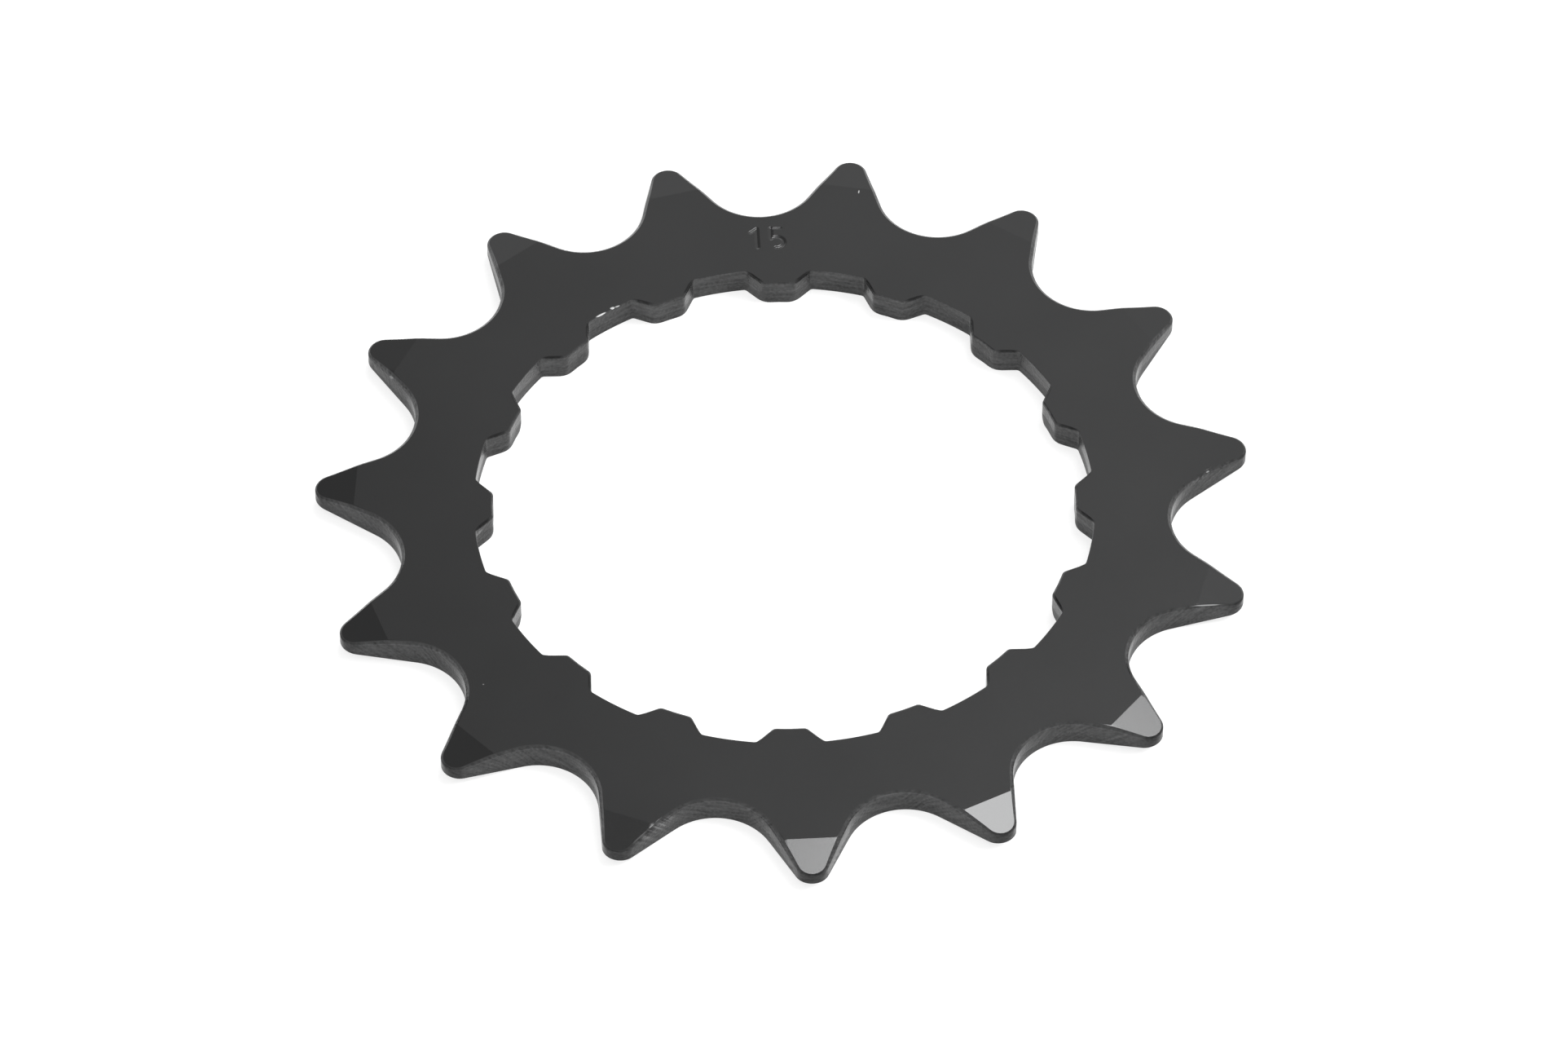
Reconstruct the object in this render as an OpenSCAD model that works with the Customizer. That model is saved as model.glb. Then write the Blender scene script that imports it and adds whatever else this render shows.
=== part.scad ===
// Motor sprocket of an e-bike: a flat hardened steel ring, blanked in one piece.
// Chain teeth stand round the outside and a coarse spline is cut into the bore.
// The origin is the bore's centre on the rear face, +Z points out of the front face,
// and one tooth points along +Y with a groove of the spline right below it.

/* [Plate] */
// Thickness of the plate
plate_t = 1.95; // [1.6:0.05:2.4]

/* [Chain teeth] */
// Number of chain teeth
teeth = 15; // [14:1:24]
// Pitch of the chain, roller to roller
chain_pitch = 12.7; // [12.3:0.1:13.5]
// Diameter of the round seat that a chain roller drops into
seat_d = 8.25; // [7.6:0.05:8.6]
// Height of the tooth tips above the pitch circle
tip_rise = 1.6; // [1.2:0.1:1.9]
// Diameter of the rounding at a tooth tip
tip_d = 2.35; // [1.8:0.05:2.6]

/* [Tip facets] */
// Length of the flat facet on the front of a tooth, from its straight inner edge to the tip
facet_len = 2.8; // [2:0.1:3.4]
// How far that facet has dropped below the front face when it reaches the tip
facet_drop = 0.42; // [0.1:0.02:0.6]
// Length of the longer facet on the rear of a tooth
rear_facet_len = 4.2; // [2:0.1:4.6]
// How far that facet has risen above the rear face when it reaches the tip
rear_facet_drop = 0.62; // [0.1:0.02:0.7]

/* [Spline] */
// Number of grooves in the bore
grooves = 16; // [12:1:17]
// Diameter at the floor of the grooves
major_d = 42.4; // [41.8:0.1:43.6]
// Diameter across the noses between the grooves
minor_d = 39.8; // [39:0.1:40.6]
// Width of a groove at its floor
floor_w = 3.7; // [3.2:0.1:4]
// Width of a groove at its mouth, where the noses end
mouth_w = 5.6; // [5.2:0.1:5.9]
// Radius on the two corners of a nose
nose_r = 0.45; // [0.2:0.05:0.6]

/* [Rolled edges] */
// Width of the rolled edge round each roller seat, on the front face
roll_w = 0.34; // [0.2:0.02:0.5]
// Depth of the same rolled edge, down the wall of the seat
roll_h = 0.3; // [0.2:0.02:0.4]
// Radius that the rear edge of each spline nose is rolled round to
nose_roll_r = 3.2; // [2.8:0.1:3.6]
// Height over which that rear edge fades into the straight wall
nose_roll_h = 0.7; // [0.4:0.1:0.9]

/* [Hidden] */
$fn = 96;

// Straight walls run this far inside the round ones, so that each pair crosses cleanly
lap = 0.01;
// Cutters reach this far past the faces that they open
over = 1;

tooth_step = 360 / teeth;
groove_step = 360 / grooves;
pitch_r = chain_pitch / 2 / sin(tooth_step / 2);
seat_r = seat_d / 2;
tip_r = tip_d / 2;
outer_r = pitch_r + tip_rise;
major_r = major_d / 2;
minor_r = minor_d / 2;

// Tooth form, seen with the tooth along +Y: a seat's centre to its right, and the tip's centre
seat_c = pitch_r * [sin(tooth_step / 2), cos(tooth_step / 2)];
tip_c = [0, outer_r - tip_r];

// The flank is the line that touches the tip circle on one side and the seat circle on the other
span = seat_c - tip_c;
flank_turn = atan2(span.y, span.x) + acos((seat_r + tip_r - 2 * lap) / norm(span));
flank_n = [cos(flank_turn), sin(flank_turn)];
flank_top = tip_c + (tip_r - lap) * flank_n;
flank_foot = seat_c - (seat_r - lap) * flank_n;

// Width of the cutter that makes a facet, clear of the teeth beside it
facet_w = chain_pitch * 0.6;

// Spline flank in a nose's own frame, with the nose along +Y: its ends on the two circles
floor_turn = groove_step / 2 - asin(floor_w / 2 / major_r);
mouth_turn = groove_step / 2 - asin(mouth_w / 2 / minor_r);
nose_root = major_r * [sin(floor_turn), cos(floor_turn)];
nose_tip = minor_r * [sin(mouth_turn), cos(mouth_turn)];
// Slope of that flank away from the nose's end, and the centre of the corner's rounding
nose_lean = atan2(nose_root.x - nose_tip.x, nose_root.y - nose_tip.y);
corner_c = nose_tip + nose_r * [-tan((90 - nose_lean) / 2), 1];
corner_steps = 5;

function mirrored(p) = [-p.x, p.y];
function turned(p, a) = [p.x * cos(a) - p.y * sin(a), p.x * sin(a) + p.y * cos(a)];

// The blank before the round seats are cut: straight flanks, flat tips, and a point at each
// seat's centre, which its seat then takes away
module flank_outline() {
    tooth = [mirrored(flank_foot), mirrored(flank_top), flank_top, flank_foot, seat_c];
    polygon([for (i = [0:teeth - 1], p = tooth) turned(p, -i * tooth_step)]);
}

// One nose of the spline, from its end to just past the grooves' floor
module nose_outline() {
    root = nose_root + over * [sin(nose_lean), cos(nose_lean)];
    corner = [for (i = [0:corner_steps])
        let (a = -90 + i / corner_steps * (90 - nose_lean))
        corner_c + nose_r * [cos(a), sin(a)]];
    side = concat(corner, [root]);
    polygon(concat([for (i = [len(side) - 1:-1:0]) mirrored(side[i])], side));
}

module spline_bore() {
    circle(minor_r);
    difference() {
        circle(major_r);
        for (i = [0:grooves - 1])
            rotate((i + 0.5) * groove_step) nose_outline();
    }
}

module plate() {
    difference() {
        union() {
            linear_extrude(plate_t) flank_outline();
            for (i = [0:teeth - 1])
                rotate(i * tooth_step) translate(tip_c) cylinder(h = plate_t, r = tip_r);
        }
        for (i = [0:teeth - 1])
            rotate(i * tooth_step) translate([seat_c.x, seat_c.y, -over])
                cylinder(h = plate_t + 2 * over, r = seat_r);
        translate([0, 0, -over]) linear_extrude(plate_t + 2 * over) spline_bore();
    }
}

// Wedge above the front face at the tooth along +Y: its lower side is a facet of this length,
// which has dropped this far at the tip
module facet_cut(length, drop) {
    translate([0, outer_r - length, plate_t])
        rotate([-atan2(drop, length), 0, 0])
            translate([-facet_w / 2, 0, 0])
                cube([facet_w, length + 2 * over, drop + over]);
}

module front_facet_cut() {
    facet_cut(facet_len, facet_drop);
}

// The rear wedge is the other way up, below the rear face
module rear_facet_cut() {
    translate([0, 0, plate_t]) mirror([0, 0, 1]) facet_cut(rear_facet_len, rear_facet_drop);
}

// Ring that rounds the front edge of a roller seat: the plate's edge rolled over by blanking,
// which runs out along the flanks by itself. Its arc is cut short at both ends, so it meets
// the wall and the face at a small angle
module seat_roll_cut() {
    arc_end = 15;
    arc_over = 6;
    arc_steps = 4;
    chord = cos(arc_end) - sin(arc_end);
    arc = [for (i = [0:arc_steps])
        let (a = arc_end - arc_over + i / arc_steps * (90 - 2 * (arc_end - arc_over)))
        [seat_r + roll_w * (cos(arc_end) - cos(a)) / chord,
            plate_t - roll_h * (cos(arc_end) - sin(a)) / chord]];
    translate(seat_c)
        rotate_extrude()
            polygon(concat([[seat_r - over, arc[0].y]], arc,
                [[arc[arc_steps].x, plate_t + over], [seat_r - over, plate_t + over]]));
}

// Block round the rear end of a nose, less the cone that the nose is rolled to
module nose_roll_cut() {
    block_w = 2 * (minor_r * sin(mouth_turn) + nose_r);
    translate([0, minor_r + nose_roll_r, 0])
        difference() {
            translate([-block_w / 2, -nose_roll_r - over, -over])
                cube([block_w, over + nose_roll_r / 4, over + nose_roll_h]);
            translate([0, 0, -over])
                cylinder(h = over + nose_roll_h + over,
                    r1 = nose_roll_r - over * 0.3,
                    r2 = nose_roll_r + (nose_roll_h + over) * 0.3);
        }
}

module faceted_plate() {
    difference() {
        plate();
        for (i = [0:teeth - 1]) rotate(i * tooth_step) {
            front_facet_cut();
            rear_facet_cut();
        }
    }
}

module sprocket() {
    color("#3d3f41")
        difference() {
            faceted_plate();
            for (i = [0:teeth - 1]) rotate(i * tooth_step) seat_roll_cut();
            for (i = [0:grooves - 1]) rotate((i + 0.5) * groove_step) nose_roll_cut();
        }
}

sprocket();
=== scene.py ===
# %% [markdown]
# # A motor sprocket in blackened steel
#
# The object is one flat steel ring, about 64 mm across and 2 mm thick. Fifteen chain teeth
# stand round the outside, and sixteen noses of a coarse spline point into the bore.
#
# A press punches such a ring out of sheet. That leaves four things that the eye reads at
# once: the front edge is rolled over, the walls are straight and faintly streaked, the rear
# edge of the bore is rolled the other way, and each tooth tip is pressed to a flat facet.
# This lesson builds the ring again as one closed surface with all four, then finishes it.

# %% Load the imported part
import math

import bpy
import numpy as np
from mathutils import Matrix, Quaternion, Vector


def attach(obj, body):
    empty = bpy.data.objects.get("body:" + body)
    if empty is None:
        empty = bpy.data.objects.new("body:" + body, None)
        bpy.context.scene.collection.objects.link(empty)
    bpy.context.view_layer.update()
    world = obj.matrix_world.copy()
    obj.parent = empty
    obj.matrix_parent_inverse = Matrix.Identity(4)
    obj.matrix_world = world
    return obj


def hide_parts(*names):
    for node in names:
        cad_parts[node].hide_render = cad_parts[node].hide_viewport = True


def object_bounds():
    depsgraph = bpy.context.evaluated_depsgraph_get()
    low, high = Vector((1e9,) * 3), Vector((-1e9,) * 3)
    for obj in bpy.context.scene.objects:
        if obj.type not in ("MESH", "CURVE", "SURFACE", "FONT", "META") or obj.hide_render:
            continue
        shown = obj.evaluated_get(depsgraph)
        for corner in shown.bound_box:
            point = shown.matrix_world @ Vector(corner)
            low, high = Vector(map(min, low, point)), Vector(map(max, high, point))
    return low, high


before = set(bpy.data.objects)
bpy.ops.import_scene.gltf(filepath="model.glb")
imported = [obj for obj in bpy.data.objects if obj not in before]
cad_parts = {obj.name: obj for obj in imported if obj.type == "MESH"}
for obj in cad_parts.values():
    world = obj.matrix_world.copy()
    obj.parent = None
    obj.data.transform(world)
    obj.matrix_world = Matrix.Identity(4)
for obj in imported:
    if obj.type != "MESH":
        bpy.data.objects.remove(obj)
cad_low, cad_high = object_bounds()
MM = 0.001
plate_t = (cad_high.z - cad_low.z) / MM
tip_circle_r = cad_high.y / MM
print(f"plate {plate_t:.2f} mm thick, tip circle {2 * tip_circle_r:.2f} mm across")

# %% [markdown]
# ## The camera
#
# The photograph looks down on the ring at about 50 degrees from 0.6 m away, through a long
# lens. The ring stands a little above the picture's middle, so the camera is aimed at a
# point on the front face slightly nearer than the bore's centre. It could be placed by eye,
# but every tooth tip is a known point, so the angles and the distance were fitted to where
# the tips show, and with them a roll of a sixth of a degree about the lens axis.

# %% Camera
PHOTO_W = 1924
SENSOR_MM = 36.0
FOCAL_PX = 10845.0
VIEW_AZIMUTH = 32.49
VIEW_ELEVATION = 49.76
VIEW_RANGE = 0.6022
VIEW_ROLL = 0.165
AIM = np.array([1.05, -1.68, plate_t]) * MM


def toward(azimuth, elevation):
    """Unit vector to a point seen at this azimuth, 0 being from the front, and elevation."""
    a, e = math.radians(azimuth), math.radians(elevation)
    return np.array([math.sin(a) * math.cos(e), -math.cos(a) * math.cos(e), math.sin(e)])


def look_from(obj, place, target, roll=0.0):
    """Puts obj at place and turns its -Z axis to target, with +Y up and then rolled."""
    turn = (Vector(target) - Vector(place)).to_track_quat("-Z", "Y")
    obj.location = Vector(place)
    obj.rotation_mode = "QUATERNION"
    obj.rotation_quaternion = turn @ Quaternion((0, 0, 1), math.radians(roll))


camera_data = bpy.data.cameras.new("camera")
camera_data.sensor_width = SENSOR_MM
camera_data.lens = FOCAL_PX / PHOTO_W * SENSOR_MM
camera_data.clip_start = 0.01
camera = bpy.data.objects.new("camera", camera_data)
bpy.context.collection.objects.link(camera)
look_from(camera, AIM + VIEW_RANGE * toward(VIEW_AZIMUTH, VIEW_ELEVATION), AIM, VIEW_ROLL)
bpy.context.scene.camera = camera
print(f"lens {camera_data.lens:.1f} mm, {VIEW_RANGE:.3f} m from the front face")

# %% [markdown]
# ## The tooth outline
#
# Between two teeth lies a round seat for a chain roller, centred on the pitch circle. The
# tip is a small round, and the flank is the straight line that touches both. One half of a
# tooth, from its tip down to the seat's bottom, holds the whole outline: it is mirrored and
# turned fifteen times. Working in the angle round the ring lets the outside and the bore
# share one set of columns later.

# %% Sizes of the teeth
TEETH = 15
CHAIN_PITCH = 12.7
SEAT_R = 4.125
TIP_R = 1.175
TIP_POINTS, FLANK_POINTS, SEAT_POINTS = 9, 8, 15
pitch_r = CHAIN_PITCH / 2 / math.sin(math.pi / TEETH)
tooth_half = math.pi / TEETH
print(f"pitch circle {2 * pitch_r:.2f} mm across, root circle {2 * (pitch_r - SEAT_R):.2f} mm")


# %% Tooth outline
def arc(centre, radius, start, end, count):
    """Points at count even steps of angle from start to end, on a circle about centre."""
    a = np.linspace(start, end, count)
    return np.column_stack([centre[0] + radius * np.cos(a), centre[1] + radius * np.sin(a)])


def line(start, end, count):
    """Points at count even steps from start to end."""
    return np.linspace(start, end, count)


def half_tooth():
    """One half tooth with the tooth along +Y: the tip's arc, the flank, then the seat's arc.

    The flank's normal makes the angle acos((seat + tip) / distance) with the line that joins
    the two centres, because the flank passes between the circles and touches both.
    """
    seat_c = pitch_r * np.array([math.sin(tooth_half), math.cos(tooth_half)])
    tip_c = np.array([0.0, tip_circle_r - TIP_R])
    span = seat_c - tip_c
    turn = math.atan2(span[1], span[0]) + math.acos((SEAT_R + TIP_R) / np.hypot(*span))
    normal = np.array([math.cos(turn), math.sin(turn)])
    tip = arc(tip_c, TIP_R, math.pi / 2, turn, TIP_POINTS)
    flank = line(tip_c + TIP_R * normal, seat_c - SEAT_R * normal, FLANK_POINTS)
    seat = arc(seat_c, SEAT_R, turn + math.pi, 1.5 * math.pi - tooth_half, SEAT_POINTS)
    return np.vstack([tip[:-1], flank[:-1], seat])


def clockwise(points):
    """Angle of each point, counted clockwise from +Y."""
    return np.arctan2(points[:, 0], points[:, 1])


tooth_side = half_tooth()
print(f"half a tooth takes {len(tooth_side)} points over {math.degrees(tooth_half):.0f} degrees")

# %% [markdown]
# ## The bore outline
#
# The bore has wide grooves on one circle and narrow noses on a smaller one, joined by
# slanted flanks. The punch leaves the corners of the noses a little round on the front, and
# much rounder on the rear, where the metal was drawn down with the punch. So there are two
# outlines, and the wall passes from one to the other over its last stretch.

# %% Sizes of the spline
GROOVES = 16
GROOVE_FLOOR_R = 21.2
NOSE_END_R = 19.9
FLOOR_W = 3.7
MOUTH_W = 5.6
FLOOR_CORNER_R = 0.3
NOSE_CORNER_R = 0.45
REAR_NOSE_CORNER_R = 1.25
FLOOR_POINTS, NOSE_END_POINTS = 5, 4
FLOOR_CORNER_POINTS, NOSE_CORNER_POINTS = 4, 6
groove_half = math.pi / GROOVES
print(f"{GROOVES} grooves of {GROOVE_FLOOR_R - NOSE_END_R:.1f} mm depth")


# %% Bore outline
def rounded(before, corner, after, radius, count):
    """The corner of a path replaced by an arc that touches both of its sides.

    The arc's ends lie radius / tan(half the corner's angle) from the corner, and its points
    are spread by angle about the centre, which lies on the corner's bisector.
    """
    u = (before - corner) / np.hypot(*(before - corner))
    v = (after - corner) / np.hypot(*(after - corner))
    half = math.acos(np.clip(u @ v, -1, 1)) / 2
    bisector = (u + v) / np.hypot(*(u + v))
    centre = corner + bisector * radius / math.sin(half)
    first = corner + u * radius / math.tan(half) - centre
    last = corner + v * radius / math.tan(half) - centre
    start = math.atan2(first[1], first[0])
    sweep = (math.atan2(last[1], last[0]) - start + math.pi) % (2 * math.pi) - math.pi
    return arc(centre, radius, start, start + sweep, count)


def half_groove(nose_corner_r):
    """Half a groove with the groove along +Y: its floor, its flank and half of the nose."""
    floor_turn = math.asin(FLOOR_W / 2 / GROOVE_FLOOR_R)
    mouth_turn = math.asin(MOUTH_W / 2 / NOSE_END_R)
    up = math.pi / 2
    floor = arc((0, 0), GROOVE_FLOOR_R, up, up - floor_turn, FLOOR_POINTS)
    nose = arc((0, 0), NOSE_END_R, up - mouth_turn, up - groove_half, NOSE_END_POINTS)
    floor_corner = rounded(floor[-2], floor[-1], nose[0], FLOOR_CORNER_R, FLOOR_CORNER_POINTS)
    nose_corner = rounded(floor[-1], nose[0], nose[-1], nose_corner_r, NOSE_CORNER_POINTS)
    return np.vstack([floor[:-1], floor_corner, nose_corner, nose[-1:]])


front_groove_side = half_groove(NOSE_CORNER_R)
rear_groove_side = half_groove(REAR_NOSE_CORNER_R)
print(f"half a groove takes {len(front_groove_side)} points")

# %% [markdown]
# ## Columns round the ring
#
# A half outline becomes a full one as a pair of functions of the angle: the outline's point
# there, and the direction of its outward normal. Both are read off the short straight pieces
# between the half outline's points. The columns of the surface are all the angles at which
# the outside or the bore has a point of its own, so no corner of either is missed.


# %% Outline as a function of the angle
def spun(points, turn):
    """Points of a plan, each turned clockwise about the origin by its own angle."""
    c, s = np.cos(turn), np.sin(turn)
    return np.column_stack([points[:, 0] * c + points[:, 1] * s, points[:, 1] * c - points[:, 0] * s])


class Outline:
    """A mirrored and repeated half outline, asked for by angle."""

    def __init__(self, side, repeats):
        self.side = side
        self.repeats = repeats
        self.half = math.pi / repeats
        self.breaks = clockwise(side)
        edge = np.diff(side, axis=0)
        turn = np.arctan2(edge[:, 1], edge[:, 0])
        self.turns = (np.append(turn[0], turn) + np.append(turn, turn[-1])) / 2
        self.turns[0] = 0.0
        self.turns[-1] = -self.half

    def angles(self):
        """Every angle round the ring at which the outline has a point."""
        both = np.concatenate([self.breaks, -self.breaks[1:-1]])
        steps = 2 * self.half * np.arange(self.repeats)
        return (steps[:, None] + both).ravel() % (2 * math.pi)

    def at(self, angle):
        """Points and outward normals at the given angles.

        The angle is folded into one half outline. The point is where a ray at that angle
        crosses a straight piece, found from how far the piece's two ends lie to the side of
        the ray. The normal is the outline's direction turned a quarter. Both are mirrored
        and turned back to where the ray was.
        """
        turned = (angle + self.half) % (2 * self.half) - self.half
        folded, mirror = np.abs(turned), np.where(turned < 0, -1.0, 1.0)
        piece = np.searchsorted(self.breaks, folded, side="right") - 1
        piece = np.clip(piece, 0, len(self.side) - 2)
        a, b = self.side[piece], self.side[piece + 1]
        sideways = np.column_stack([np.cos(folded), -np.sin(folded)])
        share = np.clip((a * sideways).sum(1) / ((a - b) * sideways).sum(1), 0, 1)
        point = a + (b - a) * share[:, None]
        turn = self.turns[piece] + (self.turns[piece + 1] - self.turns[piece]) * share
        normal = np.column_stack([-np.sin(turn), np.cos(turn)])
        point[:, 0] *= mirror
        normal[:, 0] *= mirror
        return spun(point, angle - turned), spun(normal, angle - turned)


teeth = Outline(tooth_side, TEETH)
bore_front = Outline(front_groove_side, GROOVES)
bore_rear = Outline(rear_groove_side, GROOVES)
print(f"{len(teeth.angles())} points round the teeth, {len(bore_front.angles())} round the bore")

# %% [markdown]
# ## Where the number goes
#
# A sprocket carries its number of teeth, stamped small into the front face. It needs a much
# finer grid than the rest of the face, so one window of the face is set aside for it, between
# two circles and two angles. The columns are closer there.

# %% Window for the number
STAMP_ANGLE = math.radians(324.4)
STAMP_R = 24.2
STAMP_W, STAMP_H = 2.4, 1.75
WINDOW_MARGIN = 0.45
STAMP_STEP = 0.036
# Columns closer together than this angle are one
MIN_STEP = 0.0002

window_r = STAMP_R + np.array([-1, 1]) * (STAMP_H / 2 + WINDOW_MARGIN)
window_turn = (STAMP_W / 2 + WINDOW_MARGIN) / STAMP_R
window_steps = int(2 * window_turn * STAMP_R / STAMP_STEP)
window_angles = STAMP_ANGLE + np.linspace(-window_turn, window_turn, window_steps)

own = np.sort(np.concatenate([teeth.angles(), bore_front.angles()]))
own = own[np.append(True, np.diff(own) > MIN_STEP)]
outside = (own < window_angles[0] - MIN_STEP) | (own > window_angles[-1] + MIN_STEP)
columns = np.sort(np.concatenate([own[outside], window_angles]))
window = np.searchsorted(columns, window_angles[[0, -1]])
print(f"{len(columns)} columns round the ring, {window[1] - window[0]} of them under the number")

# %% [markdown]
# ## Rows across the ring
#
# Each column is one closed cut through the ring. It climbs the bore's wall, crosses the
# front face, goes over the rolled edge, down the outer wall and back along the rear face.
# The facets aren't pieces of their own: they are how the two faces drop towards each tip, and
# on each face one row of the grid is laid along their straight inner edges to keep these
# sharp. The rear facets are half as long again as the front ones, at about the same slope.

# %% Sizes of the edges and facets
FACET_LEN, FACET_DROP = 2.8, 0.42
REAR_FACET_LEN, REAR_FACET_DROP = 4.2, 0.62
# The rolled front edge: its width and height at a seat, its size at a tip, and at both the
# length of its arc, which ends upright in the wall
ROLL_W, ROLL_H = 0.25, 0.30
TIP_ROLL = 0.13
ROLL_FROM, TIP_ROLL_FROM = math.radians(30), math.radians(62)
ROLL_ROWS = 6
# The break of the other edges, the share of it at which its middle row lies, and the wider
# break of a nose, which is reached this far in from the groove's floor
CRISP = 0.05
BREAK_MIDDLE = 0.3
NOSE_BREAK, NOSE_BREAK_RUN = 0.15, 0.4
BREAK_TURNS = np.radians([0, 30, 60, 90])
# The rolled rear edge of the noses, with the heights of its rows
REAR_ROLL_H = 0.7
REAR_ROLL_ROWS = (0.0, 0.12, 0.28, 0.48, REAR_ROLL_H)
# Distance from the bore's break to the next row on the front face
EDGE_LOOP = 0.06
# A row that follows the facets' inner edges lies between these shares of its strip
CREASE_SHARES = 0.05, 0.97
rear_slope = REAR_FACET_DROP / REAR_FACET_LEN
print(f"the facets slope by {FACET_DROP / FACET_LEN:.3f} in front and {rear_slope:.3f} behind")


# %% Faces that drop at the tips
def facet_depth(points, length, drop):
    """How far a face has dropped at these points: in proportion to the distance past the
    facet's straight inner edge, counted along the axis of the nearest tooth."""
    nearest = np.round(clockwise(points) / (2 * tooth_half)) * 2 * tooth_half
    along = points[:, 0] * np.sin(nearest) + points[:, 1] * np.cos(nearest)
    return drop / length * np.maximum(0.0, along - (tip_circle_r - length))


def facet_row(inner, outer, length):
    """Points between two rows, on the facets' inner edges where a column crosses one."""
    nearest = np.round(columns / (2 * tooth_half)) * 2 * tooth_half
    axis = np.column_stack([np.sin(nearest), np.cos(nearest)])
    a, b = (inner * axis).sum(1), (outer * axis).sum(1)
    share = (tip_circle_r - length - a) / np.where(b > a, b - a, 1.0)
    return inner + (outer - inner) * np.clip(share, *CREASE_SHARES)[:, None]


# %% Rim and bore at every column
def circle_row(radius):
    """Points on a circle about the bore's axis, one a column."""
    return radius * np.column_stack([np.sin(columns), np.cos(columns)])


def at_height(points, z):
    """Adds a height to points of a plan."""
    return np.column_stack([points, np.broadcast_to(z, len(points))])


rim, rim_out = teeth.at(columns)
bore, bore_out = bore_front.at(columns)
bore_low = bore_rear.at(columns)[0]
rim_r, bore_r = np.hypot(*rim.T), np.hypot(*bore.T)
print(f"the bore ends {bore_r.min():.1f} to {bore_r.max():.1f} mm out")
print(f"the rim ends {rim_r.min():.1f} to {rim_r.max():.1f} mm out")

# %% Rows up the wall of the bore
on_nose = np.clip((GROOVE_FLOOR_R - bore_r) / NOSE_BREAK_RUN, 0, 1)[:, None]
bore_break = CRISP + (NOSE_BREAK - CRISP) * on_nose
rows = []
for z in REAR_ROLL_ROWS:
    fade = (1 - z / REAR_ROLL_H) ** 2
    rows.append(at_height(bore + (bore_low - bore) * fade, z))
bore_top_row = len(rows)
for a in BREAK_TURNS:
    inset = bore + bore_out * bore_break * (1 - math.cos(a))
    rows.append(at_height(inset, plate_t - (bore_break * (1 - math.sin(a)))[:, 0]))
face_start_row = len(rows) - 1
print(f"{len(rows)} rows up the wall of the bore")

# %% Rows across the front face and down the roll
tipness = np.clip(1 - (tip_circle_r - rim_r) / FACET_LEN, 0, 1)[:, None] ** 2
roll_w = ROLL_W + (TIP_ROLL - ROLL_W) * tipness
roll_h = ROLL_H + (TIP_ROLL - ROLL_H) * tipness
roll_from = ROLL_FROM + (TIP_ROLL_FROM - ROLL_FROM) * tipness

rows.append(at_height(bore + bore_out * (bore_break + EDGE_LOOP), plate_t))
window_row = len(rows)
rows.append(at_height(circle_row(window_r[0]), plate_t))
rows.append(at_height(circle_row(window_r[1]), plate_t))
front_crease_row = len(rows)
crease = facet_row(rows[-1][:, :2], rim - rim_out * roll_w, FACET_LEN)
rows.append(at_height(crease, plate_t))
roll_start_row = len(rows)
for left_to_turn in np.linspace(1, 0, ROLL_ROWS):
    a = roll_from * left_to_turn
    inset = rim - rim_out * roll_w * (1 - np.cos(a)) / (1 - np.cos(roll_from))
    sunk = (roll_h * (1 - np.sin(a) / np.sin(roll_from)))[:, 0]
    rows.append(at_height(inset, plate_t - facet_depth(inset, FACET_LEN, FACET_DROP) - sunk))
wall_top_row = len(rows) - 1
print(f"the roll is {roll_h.min():.2f} to {roll_h.max():.2f} mm high")

# %% Rows down the outer wall and back along the rear face
rear_z = facet_depth(rim, REAR_FACET_LEN, REAR_FACET_DROP)
wall_foot_row = len(rows)
rows.append(at_height(rim, rear_z + CRISP))
rows.append(at_height(rim - rim_out * CRISP * BREAK_MIDDLE, rear_z + CRISP * BREAK_MIDDLE))
rear_edge = rim - rim_out * CRISP
rear_edge_row = len(rows)
rows.append(at_height(rear_edge, facet_depth(rear_edge, REAR_FACET_LEN, REAR_FACET_DROP)))
rear_crease_row = len(rows)
rows.append(at_height(facet_row(circle_row(window_r[1]), rear_edge, REAR_FACET_LEN), 0.0))
rows.append(at_height(circle_row(window_r[1]), 0.0))
section = np.array(rows)
print(f"{len(rows)} rows across the ring")

# %% [markdown]
# ## The stamped number
#
# A stamp pushes the metal down along its strokes, and the faces are ground after it. Each
# digit is a few strokes, and the depth at a point depends only on the distance to the
# nearest stroke, so one formula carves the whole number.

# %% Strokes
DIGIT_PITCH = 1.48
STROKE_HALF = 0.105
STAMP_DEPTH = 0.052
# A stroke that was struck lighter counts as this much farther away
LIGHTER = 0.06
print(f"strokes {2 * STROKE_HALF:.2f} mm wide and {STAMP_DEPTH:.3f} mm deep")


def to_segment(p, a, b):
    """Distance from points p to the straight stroke from a to b."""
    a, b = np.array(a), np.array(b)
    share = np.clip(((p - a) @ (b - a)) / ((b - a) @ (b - a)), 0, 1)
    return np.hypot(*(p - a - share[:, None] * (b - a)).T)


def to_arc(p, centre, radius, start, end):
    """Distance from points p to a round stroke, its ends given in degrees."""
    d = p - np.array(centre)
    middle = math.radians((start + end) / 2)
    off = (np.arctan2(d[:, 1], d[:, 0]) - middle + math.pi) % (2 * math.pi) - math.pi
    reach = math.radians((end - start) / 2)
    off = np.clip(off, -reach, reach) + middle
    nearest = radius * np.column_stack([np.cos(off), np.sin(off)])
    return np.hypot(*(d - nearest).T)


def to_one(p):
    """Distance to the digit 1: an upright and a short flag."""
    h = STAMP_H / 2
    return np.minimum(to_segment(p, (0.1, -h), (0.1, h)), to_segment(p, (0.1, h), (-0.34, h - 0.34)))


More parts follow.
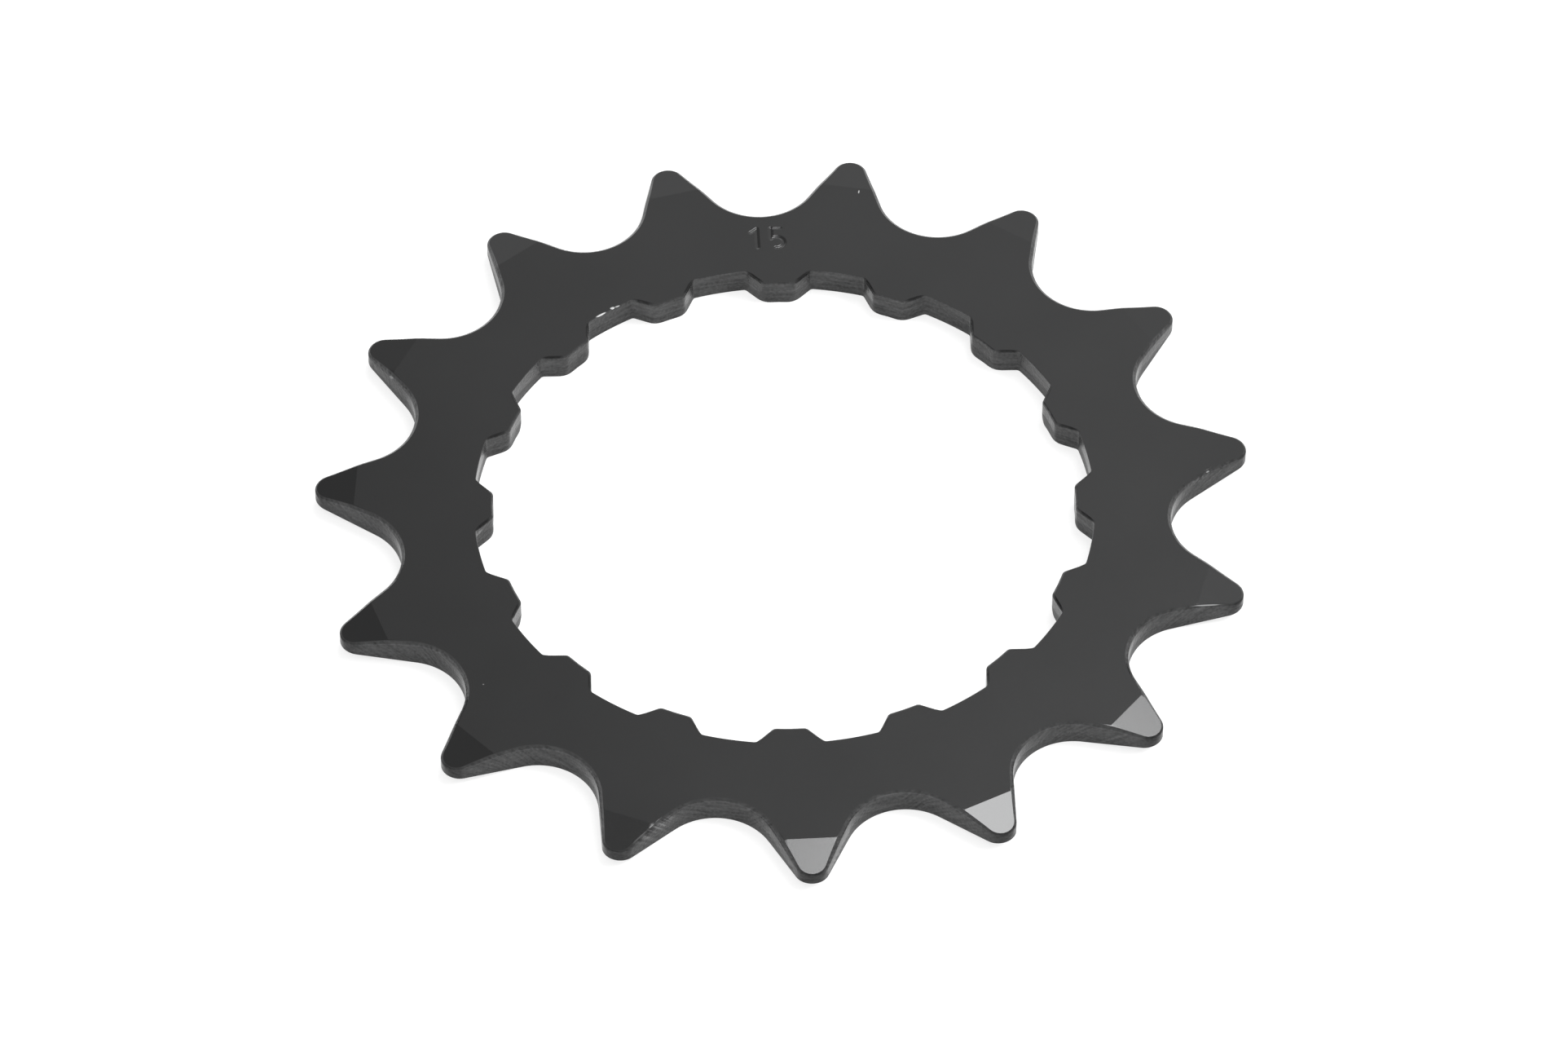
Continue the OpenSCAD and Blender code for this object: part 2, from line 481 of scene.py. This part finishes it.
def to_five(p):
    """Distance to the digit 5: a bar that was struck lighter, a short upright and a bowl."""
    h = STAMP_H / 2
    bar = to_segment(p, (-0.40, h), (0.30, h)) + LIGHTER
    upright = to_segment(p, (-0.40, h), (-0.42, 0.02))
    bowl = to_arc(p, (-0.03, -h + 0.44), 0.5, -98, 138)
    return np.minimum(np.minimum(bar, upright), bowl)


# %% Carve the window
def stamp_depth(points):
    """Depth over the window: the strokes are grooves whose sides fade with the cube of the
    distance to the stroke's middle."""
    right = np.array([math.cos(STAMP_ANGLE), -math.sin(STAMP_ANGLE)])
    up = np.array([math.sin(STAMP_ANGLE), math.cos(STAMP_ANGLE)])
    local = np.column_stack([points @ right, points @ up - STAMP_R])
    half_pitch = np.array([DIGIT_PITCH / 2, 0])
    away = np.minimum(to_one(local + half_pitch), to_five(local - half_pitch))
    return STAMP_DEPTH * np.exp(-((away / STROKE_HALF) ** 3))


window_columns = np.arange(window[0], window[1] + 1)
inner_row, outer_row = section[window_row, window_columns], section[window_row + 1, window_columns]
fine_rows = int((window_r[1] - window_r[0]) / STAMP_STEP)
share = np.linspace(0, 1, fine_rows + 1)[1:-1, None, None]
patch = inner_row + (outer_row - inner_row) * share
patch[:, 1:-1, 2] -= stamp_depth(patch[:, 1:-1, :2].reshape(-1, 2)).reshape(patch[:, 1:-1, 2].shape)
print(f"the number is {STAMP_H:.1f} mm tall on a grid of {patch.shape[1]} by {patch.shape[0]}")

# %% [markdown]
# ## One closed mesh
#
# Every row joins the next, the last row joins the first, and the columns close round the
# ring. Only the window is filled by its own finer grid. The two faces beside it take the
# fine grid's edge points as extra corners, so nothing is left open.

# %% Faces of the grid
count_rows, count_columns = section.shape[:2]
index = np.arange(count_rows * count_columns).reshape(count_rows, count_columns)


def grid_faces(grid, close_columns):
    """Four-sided faces between neighbouring rows and columns of a grid of indices."""
    if close_columns:
        grid = np.hstack([grid, grid[:, :1]])
    faces = np.stack([grid[:-1, :-1], grid[1:, :-1], grid[1:, 1:], grid[:-1, 1:]], axis=-1)
    return faces.reshape(grid.shape[0] - 1, -1, 4)


bands = grid_faces(np.vstack([index, index[:1]]), close_columns=True)
kept = np.ones(bands.shape[:2], bool)
kept[window_row, window[0] - 1:window[1] + 1] = False
quads = bands[kept]

fine = index.size + np.arange(patch.shape[0] * patch.shape[1]).reshape(patch.shape[:2])
fine = np.vstack([index[window_row, window_columns], fine, index[window_row + 1, window_columns]])
quads = np.vstack([quads, grid_faces(fine, close_columns=False).reshape(-1, 4)])

left, right_edge = window[0] - 1, window[1] + 1
beside = [
    [index[window_row, left], index[window_row + 1, left], *fine[::-1, 0]],
    [index[window_row + 1, right_edge], index[window_row, right_edge], *fine[:, -1]],
]
print(f"{len(quads)} four-sided faces and {len(beside)} wide ones")

# %% Mesh of the ring
def new_piece(name, points, faces):
    """A mesh object at the origin, its points given in millimetres."""
    mesh = bpy.data.meshes.new(name)
    mesh.from_pydata((points * MM).tolist(), [], faces)
    mesh.update()
    piece = bpy.data.objects.new(name, mesh)
    bpy.context.collection.objects.link(piece)
    return piece


points = np.vstack([section.reshape(-1, 3), patch.reshape(-1, 3)])
ring = new_piece("sprocket_ring", points, quads.tolist() + [[int(i) for i in f] for f in beside])
ring.data.shade_smooth()
print(f"the ring has {len(ring.data.vertices)} points and {len(ring.data.polygons)} faces")

# %% [markdown]
# ## Keeping flat faces flat
#
# Smooth shading blends the light across every edge, which would bend it on the big flat
# faces. So the edges where a flat face ends are marked sharp: the facets' straight inner
# edges, both sides of the crisp breaks, and the line where the roll begins. The front was
# ground after punching, and that line is a real, slight edge.

# %% Sharp rows
sharp_rows = [0, bore_top_row, face_start_row, front_crease_row, roll_start_row]
sharp_rows += [wall_foot_row, rear_edge_row, rear_crease_row]
ends = np.zeros(len(ring.data.edges) * 2, int)
ring.data.edges.foreach_get("vertices", ends)
row_of = np.append(np.repeat(np.arange(count_rows), count_columns), np.full(patch[..., 0].size, -1))
edge_rows = row_of[ends.reshape(-1, 2)]
sharp = (edge_rows[:, 0] == edge_rows[:, 1]) & np.isin(edge_rows[:, 0], sharp_rows)
mark = ring.data.attributes.new("sharp_edge", "BOOLEAN", "EDGE")
mark.data.foreach_set("value", sharp)
print(f"{int(sharp.sum())} edges kept sharp")

# %% [markdown]
# ## A map that follows the walls
#
# The walls carry fine streaks that run along them, side by side between the two faces. The
# material needs to know how far a point lies along the wall and how far down, so the ring
# carries a map with the distance round it in one direction and the distance across the cut
# in the other. An attribute says whether a point is on a wall. Another says where shade is
# painted into the colour: along the front edge of a nose's two flanks, and down the short
# wall at a tooth's tip.

# %% Map of the walls
def running_length(paths, axis):
    """Distance travelled along an axis of a grid of points, from its first line."""
    step = np.linalg.norm(np.diff(paths, axis=axis), axis=-1)
    start = np.zeros_like(np.take(step, [0], axis=axis))
    return np.concatenate([start, np.cumsum(step, axis=axis)], axis=axis)


around_rim = running_length(section[[wall_top_row]], 1)[0]
around_bore = running_length(section[[bore_top_row]], 1)[0]
outer_rows = np.arange(count_rows)[:, None] > window_row
along = np.where(outer_rows, around_rim, around_bore)
across = running_length(section, 0)
map_points = np.stack([along, across], axis=-1).reshape(-1, 2)
map_points = np.vstack([map_points, patch[..., :2].reshape(-1, 2)])

corners = np.zeros(len(ring.data.loops), int)
ring.data.loops.foreach_get("vertex_index", corners)
layer = ring.data.uv_layers.new(name="wall_map")
layer.data.foreach_set("uv", map_points[corners].ravel())
print(f"the map runs {around_rim.max():.0f} mm round the teeth")

# %% Walls, and where shade is painted
# How dark the painted shade is on a tip's wall, where it starts before the tip, and over what run
TIP_PAINTED_SHADE = 0.75
TIP_PAINTED_SHADE_FROM, TIP_PAINTED_SHADE_RUN = 0.95, 0.85
# The same start and run of the painted shade beyond a nose's end, and the run in which it ends at the
# floor
NOSE_PAINTED_SHADE_FROM, NOSE_PAINTED_SHADE_RUN = 0.1, 0.25
FLOOR_PAINTED_SHADE_RUN = 0.2

wall = np.zeros((count_rows, count_columns))
wall[:face_start_row] = 1
wall[roll_start_row + 1:wall_foot_row + 1] = 1
past_nose_end = np.clip((bore_r - NOSE_END_R - NOSE_PAINTED_SHADE_FROM) / NOSE_PAINTED_SHADE_RUN, 0, 1)
short_of_floor = np.clip((GROOVE_FLOOR_R - bore_r) / FLOOR_PAINTED_SHADE_RUN, 0, 1)
near_tip = np.clip((rim_r - tip_circle_r + TIP_PAINTED_SHADE_FROM) / TIP_PAINTED_SHADE_RUN, 0, 1)
# Painted shade: darker on the break at the front edge of a nose's flanks, and down the rolled edge
# and outer wall near each tip
painted_shade = np.zeros((count_rows, count_columns))
painted_shade[bore_top_row + 1:face_start_row + 1] = past_nose_end * short_of_floor
painted_shade[roll_start_row + 1:wall_foot_row + 1] = TIP_PAINTED_SHADE * near_tip

for name, values in (("wall", wall), ("painted_shade", painted_shade)):
    values = np.append(values.ravel(), np.zeros(patch[..., 0].size))
    ring.data.attributes.new(name, "FLOAT", "POINT").data.foreach_set("value", values)
print(f"{wall.mean():.0%} of the grid is wall, {(painted_shade > 0).mean():.0%} has deeper black")

# %% [markdown]
# ## Shader maths in plain expressions
#
# A finish is mostly arithmetic on patterns. A small class wraps a socket so that ordinary
# Python operators add the Math nodes, and one method makes every other kind of node.


# %% Helper for materials
class Wire:
    """A socket's output in a node tree, with arithmetic."""

    def __init__(self, tree, socket):
        self.tree, self.socket = tree, socket

    def node(self, kind, settings=None, out=0, **inputs):
        """Adds a node: its settings first, then values or wires for its sockets.

        A socket is given by its name, or by i and its number where names repeat.
        """
        made = self.tree.nodes.new(kind)
        for name, value in (settings or {}).items():
            setattr(made, name, value)
        for name, value in inputs.items():
            key = int(name[1:]) if name[1:].isdigit() else name.replace("_", " ")
            socket = made.inputs[key]
            if isinstance(value, Wire):
                self.tree.links.new(value.socket, socket)
            else:
                socket.default_value = value
        return Wire(self.tree, made.outputs[out])

    def maths(self, operation, *values):
        """A Math node on this value and up to two more."""
        sockets = {f"i{n}": value for n, value in enumerate((self, *values))}
        return self.node("ShaderNodeMath", {"operation": operation}, **sockets)

    def __add__(self, other):
        return self.maths("ADD", other)

    def __sub__(self, other):
        return self.maths("SUBTRACT", other)

    def __mul__(self, other):
        return self.maths("MULTIPLY", other)

    def __truediv__(self, other):
        return self.maths("DIVIDE", other)

    def __rsub__(self, other):
        return self.maths("MULTIPLY_ADD", -1.0, other)

    __radd__ = __add__
    __rmul__ = __mul__

    def between(self, low, high):
        """0 below low, 1 above high, smooth between them."""
        return self.node("ShaderNodeMapRange", {"interpolation_type": "SMOOTHSTEP"},
                         Value=self, From_Min=low, From_Max=high)


def new_material(name):
    """An empty material, its Principled shader, and a wire to start expressions from."""
    material = bpy.data.materials.new(name)
    material.use_nodes = True
    tree = material.node_tree
    tree.nodes.clear()
    shader = tree.nodes.new("ShaderNodeBsdfPrincipled")
    output = tree.nodes.new("ShaderNodeOutputMaterial")
    tree.links.new(shader.outputs["BSDF"], output.inputs["Surface"])
    return material, shader, Wire(tree, None)


# %% [markdown]
# ## Blackened steel
#
# The steel has a thin black conversion layer, so it is a metal that reflects only about a
# twentieth of the light head on, and more at a glance. The face is satin and almost even:
# a fine grain from tumbling, slight clouds of tone, and no brush marks. The walls carry fine
# streaks and a burnished band, and below that band they are torn and rougher.
#
# Where the layer was knocked, bare steel shows as short bright ticks along an edge, and where
# it was rubbed, as fine streaks. A painted picture could hold these, but each is simply a
# small ellipsoid with a place, three half sizes and a turn, which stays sharp at any distance.

# %% Finish of the steel
STEEL_TONE = 0.056
BARE_TONE = 0.75
FACE_ROUGHNESS = 0.155
WALL_ROUGHNESS = 0.22
TORN_ROUGHNESS = 0.2
# Sizes of the patterns, a streak's length and width among them
GRAIN_MM = 0.09
CLOUD_MM = 9.0
STREAK_MM = (2.6, 0.25)
SPECKLE_MM = 0.2
# What the patterns do to the tone of the whole ring, and to that of the walls
EVEN_TONE, CLOUD_TONE, GRAIN_TONE = 0.90, 0.14, 0.08
WALL_LIFT, SHEARED_LIFT, STREAK_TONE, SPECKLE_TONE = 0.03, 0.05, 1.0, 1.2
# How much the painted shade darkens the colour
PAINTED_SHADE_TONE = 0.55
GREEN_SHARE, BLUE_SHARE = 1.005, 1.01
MEAN_NOISE = 0.5
# Where the burnished band ends, as shares of the thickness, and how far that line wanders
SHEAR_LINE, SHEAR_WANDER = (0.34, 0.56), 0.35
# What they do to the roughness and to the relief
CLOUD_ROUGHNESS = 0.03
FACE_GRAIN, TORN_GRAIN, SPECKLE_RELIEF = 0.35, 0.65, 12.0
BUMP_STRENGTH, BUMP_MM = 0.25, 0.01
print(f"tone {STEEL_TONE}, roughness {FACE_ROUGHNESS} on the faces and {WALL_ROUGHNESS} on the walls")

# %% Knocks and rubs
# Knocks in the black layer: middle, half length, width and height, turn, how bare
KNOCKS_MM = [
    ((-19.88, 7.42, plate_t), (0.50, 0.075, 0.12), 66, 1.0),
    ((-19.55, 8.36, plate_t), (0.20, 0.110, 0.12), 55, 1.0),
    ((-19.36, 8.68, plate_t), (0.26, 0.045, 0.12), 60, 0.6),
    ((28.93, 7.70, 1.78), (1.25, 0.045, 0.35), 42, 0.46),
    ((-10.97, 26.87, plate_t), (0.18, 0.055, 0.12), 115, 0.75),
    ((-8.28, -24.52, plate_t), (0.07, 0.060, 0.12), 20, 0.35),
    ((22.95, 17.93, 1.87), (0.17, 0.055, 0.10), 67, 0.42),
    ((7.81, -28.52, 1.89), (0.30, 0.045, 0.10), 78, 0.38),
    ((7.60, -29.60, 1.76), (0.90, 0.050, 0.25), 78, 0.09),
    ((-28.96, -5.07, 1.66), (0.30, 0.050, 0.20), 168, 0.15),
]
# Rubbed stretches of wall, the same six sizes and how bare at their brightest specks
RUBS_MM = [
    ((8.10, -28.30, 1.55), (2.00, 0.70, 0.50), 76, 0.13),
    ((29.10, 7.50, 1.55), (0.90, 0.50, 0.30), 42, 0.05),
    ((22.70, 17.00, 1.60), (1.30, 0.50, 0.35), 75, 0.06),
    ((-16.17, -13.25, 1.50), (0.55, 0.20, 0.40), 79, 0.16),
]
# Where an ellipsoid starts to fade, as a share of the way out from its middle
KNOCK_FADE, RUB_FADE = 0.55, 0.3
# How the speckle and the streaks break up a rub
PATCH_SPECKLE, PATCH_STREAK = 0.8, 2.2
PATCH_EDGE = 1.2, 1.9


def knock(wire, place, knock_at, fade_from):
    """How bare the steel is in a small ellipsoid: the distance to its middle, turned and
    stretched so that the ellipsoid is a ball of radius 1, fades to nothing at 1."""
    middle, halves, turn, bareness = knock_at
    centred = wire.node("ShaderNodeMapping", {"vector_type": "TEXTURE"}, Vector=place,
                        Location=tuple(c * MM for c in middle), Rotation=(0, 0, math.radians(turn)),
                        Scale=tuple(c * MM for c in halves))
    reach = wire.node("ShaderNodeVectorMath", {"operation": "LENGTH"}, out=1, i0=centred)
    return bareness * (1 - reach.between(fade_from, 1.0))


def worn_off(wire, place, patchy):
    """How bare the steel is: as much as the barest of the knocks and patchy rubs there."""
    worn = knock(wire, place, KNOCKS_MM[0], KNOCK_FADE)
    for knock_at in KNOCKS_MM[1:]:
        worn = worn.maths("MAXIMUM", knock(wire, place, knock_at, KNOCK_FADE))
    for rub_at in RUBS_MM:
        worn = worn.maths("MAXIMUM", patchy * knock(wire, place, rub_at, RUB_FADE))
    return worn


print(f"{len(KNOCKS_MM)} knocks and {len(RUBS_MM)} rubs")


# %% Material of the ring
def noise(wire, place, size_mm, detail):
    """Noise whose coarsest spots are about this size."""
    return wire.node("ShaderNodeTexNoise", Vector=place, Scale=1 / (size_mm * MM), Detail=detail)


def streaks(wire):
    """Flat noise on the map of the walls, drawn out along them."""
    follow = wire.node("ShaderNodeUVMap", {"uv_map": "wall_map"})
    drawn = wire.node("ShaderNodeMapping", Vector=follow,
                      Scale=(1 / STREAK_MM[0], 1 / STREAK_MM[1], 1.0))
    return wire.node("ShaderNodeTexNoise", {"noise_dimensions": "2D"},
                     Vector=drawn, Scale=1.0, Detail=2.0)


def blackened_steel():
    """The finish of the whole ring."""
    material, shader, wire = new_material("blackened_steel")
    tree = material.node_tree
    place = wire.node("ShaderNodeTexCoord", out=3)
    is_wall = wire.node("ShaderNodeAttribute", {"attribute_name": "wall"}, out=2)
    # The share of painted shade at each point
    painted_shade_amount = wire.node("ShaderNodeAttribute", {"attribute_name": "painted_shade"}, out=2)

    grain = noise(wire, place, GRAIN_MM, 2.0)
    cloud = noise(wire, place, CLOUD_MM, 3.0)
    speckle = noise(wire, place, SPECKLE_MM, 3.0)
    streak = streaks(wire)
    height = wire.node("ShaderNodeSeparateXYZ", out=2, Vector=place) / (plate_t * MM)
    sheared = (height + SHEAR_WANDER * (cloud + streak - 2 * MEAN_NOISE)).between(*SHEAR_LINE)
    patchy = (PATCH_SPECKLE * speckle + PATCH_STREAK * streak).between(*PATCH_EDGE)

    tone = STEEL_TONE * (EVEN_TONE + CLOUD_TONE * cloud + GRAIN_TONE * grain)
    wall_tone = WALL_LIFT + SHEARED_LIFT * sheared + STREAK_TONE * (streak - MEAN_NOISE)
    wall_tone = wall_tone + SPECKLE_TONE * (speckle - MEAN_NOISE)
    # Painted shade darkens the colour along the noses' flank edges and near the tips
    tone = tone * (1 + is_wall * wall_tone) * (1 - PAINTED_SHADE_TONE * painted_shade_amount)
    tone = tone + worn_off(wire, place, patchy) * (BARE_TONE - tone)
    colour = wire.node("ShaderNodeCombineColor",
                       Red=tone, Green=tone * GREEN_SHARE, Blue=tone * BLUE_SHARE)
    tree.links.new(colour.socket, shader.inputs["Base Color"])

    wall_rough = WALL_ROUGHNESS - FACE_ROUGHNESS + TORN_ROUGHNESS * (1 - sheared)
    rough = FACE_ROUGHNESS + CLOUD_ROUGHNESS * cloud + is_wall * wall_rough
    tree.links.new(rough.socket, shader.inputs["Roughness"])
    shader.inputs["Metallic"].default_value = 1.0

    relief = grain * (FACE_GRAIN + TORN_GRAIN * is_wall * (1 - sheared))
    relief = relief + is_wall * (streak + SPECKLE_RELIEF * speckle)
    bump = wire.node("ShaderNodeBump", Height=relief, Strength=BUMP_STRENGTH, Distance=BUMP_MM * MM)
    tree.links.new(bump.socket, shader.inputs["Normal"])
    return material


steel = blackened_steel()
ring.data.materials.append(steel)
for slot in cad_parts["sprocket"].material_slots:
    slot.material = steel
print(f"the finish takes {len(steel.node_tree.nodes)} nodes")

# %% [markdown]
# ## The studio
#
# The ring lies on a plain white table in even light. The table glows a little by itself, as a
# light table does, which keeps the ring's shadow faint and its walls bright.
#
# The facets tell where the lamps are: the three nearest ones on the right mirror a soft box
# high behind the ring, and those on the left mirror a darker part of the room. The flat face
# mirrors the room halfway up, and the rolled edges mirror it just above the horizon, where it
# is much lighter. A second soft box lights the table from the side. It is hidden from
# reflections, since no facet shows it.

# %% Floor
FLOOR_HALF = 3.0
FLOOR_TONE, FLOOR_ROUGHNESS = 0.82, 0.9
GLOW, GLOW_SHARE = 1.25, 0.57
FLOOR_GAP_MM = 0.01
floor_corners = FLOOR_HALF / MM * np.array([(-1, -1, 0), (1, -1, 0), (1, 1, 0), (-1, 1, 0)])
floor_corners[:, 2] = -FLOOR_GAP_MM
floor = new_piece("floor", floor_corners, [[0, 1, 2, 3]])
floor_material, floor_shader, floor_wire = new_material("white_table")
floor_shader.inputs["Base Color"].default_value = (FLOOR_TONE, FLOOR_TONE, FLOOR_TONE, 1)
floor_shader.inputs["Roughness"].default_value = FLOOR_ROUGHNESS
floor_shader.inputs["Specular IOR Level"].default_value = 0.0
floor_tree = floor_material.node_tree
glow = floor_wire.node("ShaderNodeEmission", Strength=GLOW)
lit = Wire(floor_tree, floor_shader.outputs[0])
lifted = floor_wire.node("ShaderNodeMixShader", i0=GLOW_SHARE, i1=lit, i2=glow)
floor_tree.links.new(lifted.socket, floor_tree.nodes["Material Output"].inputs["Surface"])
floor.data.materials.append(floor_material)
print(f"the floor is {2 * FLOOR_HALF:.0f} m wide and glows by {GLOW_SHARE:.0%}")

# %% Room light
ROOM_LIGHT = 1.01
# More light low down and near the horizon, each fading between two heights of the direction
LOW_LIGHT, LOW_FADE = 0.035, (0.42, 0.77)
HORIZON_LIGHT, HORIZON_FADE = 0.9, (0.08, 0.40)
# The dark side: its light, its middle, and how far out it starts and stops to fade
DARK_SIDE = 0.48
DARK_MIDDLE = toward(VIEW_AZIMUTH - 131.7, 53.8)
DARK_FADE = math.cos(math.radians(29.6)), math.cos(math.radians(26.3))
world = bpy.data.worlds.new("room")
world.use_nodes = True
bpy.context.scene.world = world
room_tree = world.node_tree
room_tree.nodes.clear()
room = Wire(room_tree, None)
direction = room.node("ShaderNodeTexCoord", out=0)
toward_dark = room.node("ShaderNodeVectorMath", {"operation": "DOT_PRODUCT"}, out=1,
                        i0=direction, i1=tuple(DARK_MIDDLE))
climb = room.node("ShaderNodeSeparateXYZ", out=2, Vector=direction)
strength = ROOM_LIGHT + LOW_LIGHT * (1 - climb.between(*LOW_FADE))
strength = strength + HORIZON_LIGHT * (1 - climb.between(*HORIZON_FADE))
strength = strength - (strength - DARK_SIDE) * toward_dark.between(*DARK_FADE)
# The camera itself sees plain white
seen = room.node("ShaderNodeLightPath", out=0)
strength = strength + seen * (1 - strength)
light = room.node("ShaderNodeBackground", Color=(1, 1, 1, 1), Strength=strength)
room_output = room_tree.nodes.new("ShaderNodeOutputWorld")
room_tree.links.new(light.socket, room_output.inputs["Surface"])
print(f"the room's light takes {len(room_tree.nodes)} nodes")


# %% Soft boxes
def soft_box(name, azimuth, elevation, distance, width, height, radiance):
    """A rectangular lamp aimed at the ring. Its power is radiance times pi times its area."""
    data = bpy.data.lights.new(name, "AREA")
    data.shape = "RECTANGLE"
    data.size, data.size_y = width, height
    data.energy = radiance * math.pi * width * height
    lamp = bpy.data.objects.new(name, data)
    bpy.context.collection.objects.link(lamp)
    look_from(lamp, distance * toward(azimuth, elevation), (0, 0, 0))
    lamp.visible_camera = False
    return lamp


key = soft_box("key_soft_box", azimuth=VIEW_AZIMUTH + 155.6, elevation=68.0, distance=1.2,
               width=0.32, height=0.43, radiance=9.1)
side = soft_box("side_soft_box", azimuth=VIEW_AZIMUTH + 100, elevation=40, distance=1.0,
                width=0.5, height=0.5, radiance=13.0)
side.visible_glossy = False
print(f"key lamp of {key.data.energy:.1f} W, side lamp of {side.data.energy:.1f} W")

# %% [markdown]
# ## Handing over
#
# The ring rides on the part's only body and stands for its only node. The Standard view
# shows every colour as it is written. The dressed ring has to stay inside the constructed
# one.

# %% Ride, replace and finish
bpy.context.scene.view_settings.view_transform = "Standard"
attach(ring, "root")
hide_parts("sprocket")
